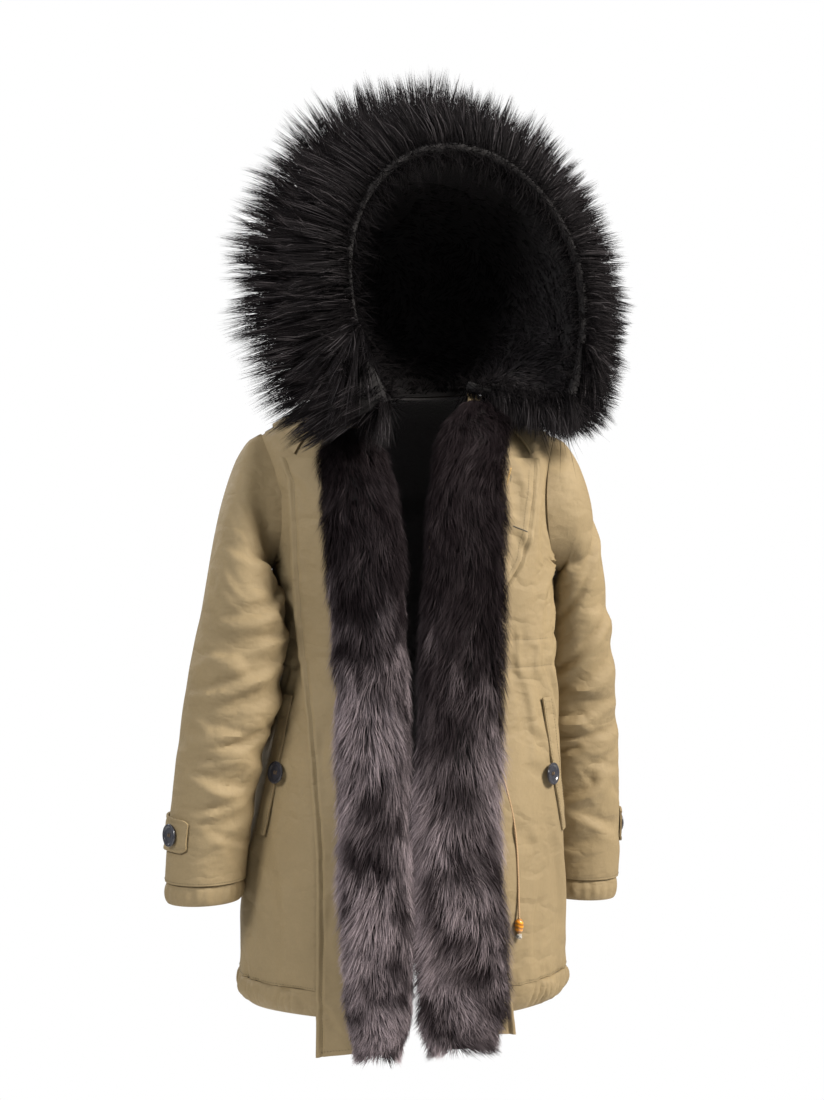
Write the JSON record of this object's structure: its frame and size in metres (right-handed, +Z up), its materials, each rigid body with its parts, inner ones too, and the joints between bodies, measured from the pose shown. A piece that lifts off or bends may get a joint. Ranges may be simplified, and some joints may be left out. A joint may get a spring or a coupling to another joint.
{
  "type": "fur trimmed parka",
  "caption": "Open hooded parka in olive cotton with dark fur facings and a long-haired ruff round the hood, held as when worn.",
  "frame": {"origin": "at the nape, on the neck seam's level, where the coat rests on the wearer", "axes": "+Z up along the back, -Y the way the wearer faces, +X towards the wearer's left, which is the viewer's right"},
  "size_m": [0.6067, 0.4159, 1.2182],
  "materials": {
    "olive_cotton": "matt woven",
    "facing_fur": "soft pile",
    "ruff_fur": "long hair",
    "lining_fur": "short pile",
    "horn_button": "satin",
    "brass_zip": "satin",
    "tan_cord": "braided",
    "amber_wood": "varnished"
  },
  "bodies": {
    "root": {"back_panel": "olive_cotton", "back_skirt": "olive_cotton", "collar": "olive_cotton", "cord_bead": "amber_wood", "cuff_button_left": "horn_button", "cuff_button_right": "horn_button", "cuff_hem_left": "olive_cotton", "cuff_hem_right": "olive_cotton", "cuff_tab_left": "olive_cotton", "cuff_tab_right": "olive_cotton", "drawcord": "tan_cord", "front_left": "olive_cotton", "front_right": "olive_cotton", "fur_facing_left": "facing_fur", "fur_facing_right": "facing_fur", "hem_casing_back": "olive_cotton", "hem_casing_left": "olive_cotton", "hem_casing_right": "olive_cotton", "hood_lining": "lining_fur", "hood_ruff": "ruff_fur", "hood_shell": "olive_cotton", "placket_left": "olive_cotton", "placket_right": "olive_cotton", "pocket_button_left": "horn_button", "pocket_button_right": "horn_button", "pocket_welt_left": "olive_cotton", "pocket_welt_right": "olive_cotton", "sleeve_left": "olive_cotton", "sleeve_right": "olive_cotton", "zip_tape": "brass_zip"}
  },
  "joints": []
}
